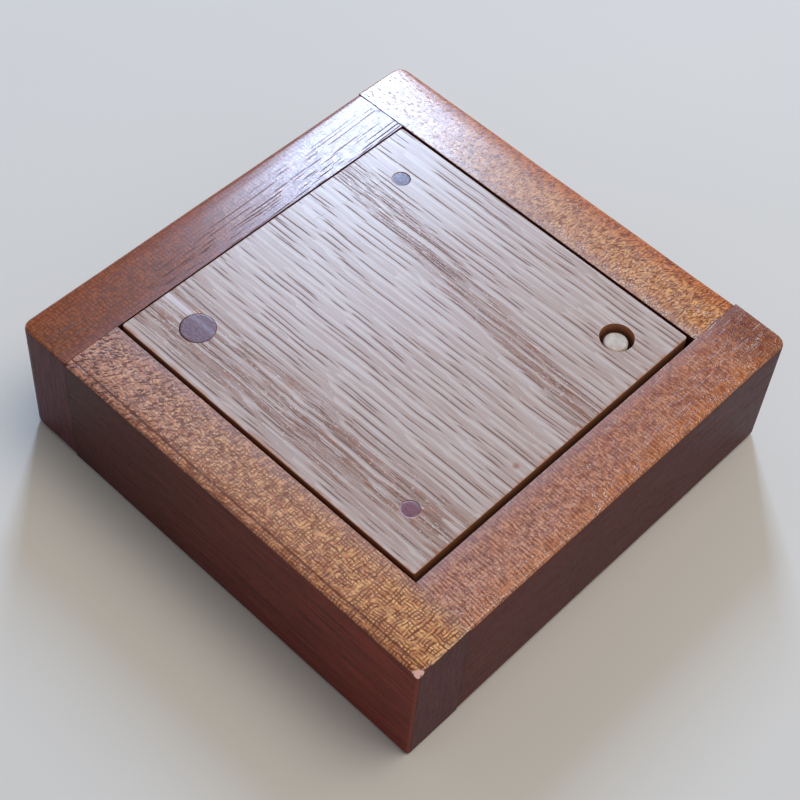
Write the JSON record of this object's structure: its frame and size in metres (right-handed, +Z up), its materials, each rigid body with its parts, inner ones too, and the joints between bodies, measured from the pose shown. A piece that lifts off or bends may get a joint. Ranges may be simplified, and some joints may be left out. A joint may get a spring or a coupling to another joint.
{
  "type": "coin box",
  "caption": "Small square wooden box with pinwheel butt joints and a flush rocking lid that tips up when pressed at one corner.",
  "frame": {"origin": "centre of the case's square plan, on the plane of the rails' undersides", "axes": "+Z up through the lid; the case's sides lie along X and Y, with the push peg near the corner at +X, +Y"},
  "size_m": [0.1016, 0.1016, 0.0294],
  "materials": {
    "rail_wood_front": "satin oil",
    "rail_wood_right": "satin oil",
    "rail_wood_back": "satin oil",
    "rail_wood_left": "satin oil",
    "lid_oak": "satin oil, open pores",
    "dark_wood": "oiled end grain",
    "pale_wood": "smooth",
    "base_wood": "satin oil",
    "post_wood": "satin oil",
    "spring_steel": "drawn wire"
  },
  "bodies": {
    "case": {"rail_front": "rail_wood_front", "rail_right": "rail_wood_right", "rail_back": "rail_wood_back", "rail_left": "rail_wood_left", "joint_dowel_front_left_lower": "pale_wood", "joint_dowel_front_left_upper": "pale_wood", "joint_dowel_front_right_lower": "pale_wood", "joint_dowel_front_right_upper": "pale_wood", "joint_dowel_back_right_lower": "pale_wood", "joint_dowel_back_right_upper": "pale_wood", "joint_dowel_back_left_lower": "pale_wood", "joint_dowel_back_left_upper": "pale_wood", "base_panel": "base_wood", "coin_tray": "base_wood", "corner_post_front_left": "post_wood", "corner_post_front_right": "post_wood", "corner_post_back_right": "post_wood", "corner_post_back_left": "post_wood", "peg_keeper_ring": "dark_wood", "peg_spring": "spring_steel"},
    "fulcrum_pins": {"fulcrum_pin_back_left": "dark_wood", "fulcrum_pin_front_right": "dark_wood"},
    "lid": {"lid_panel": "lid_oak", "large_plug": "dark_wood", "small_plug_back_left": "dark_wood", "small_plug_front_right": "dark_wood"},
    "push_peg": {"push_peg": "pale_wood"}
  },
  "joints": [
    {"name": "lid_tilt", "type": "hinge", "parent": "case", "child": "fulcrum_pins", "pos_m": [-0.00045, -0.00045, 0.02037], "axis": [-0.7071, 0.7071, 0], "range_deg": [0, 4], "stiffness_Nm_per_rad": 0.16, "springref_deg": -2.86},
    {"name": "lid_lift", "type": "slide", "parent": "fulcrum_pins", "child": "lid", "axis": [0, 0, 1], "range_m": [0, 0.05]},
    {"name": "push_peg_travel", "type": "slide", "parent": "case", "child": "push_peg", "axis": [0, 0, 1], "range_m": [-0.0028, 0], "deforming": ["peg_spring"]}
  ],
  "couplings": [
    {"joint": "push_peg_travel", "follows": "lid_tilt", "m_per_rad": -0.039743}
  ]
}
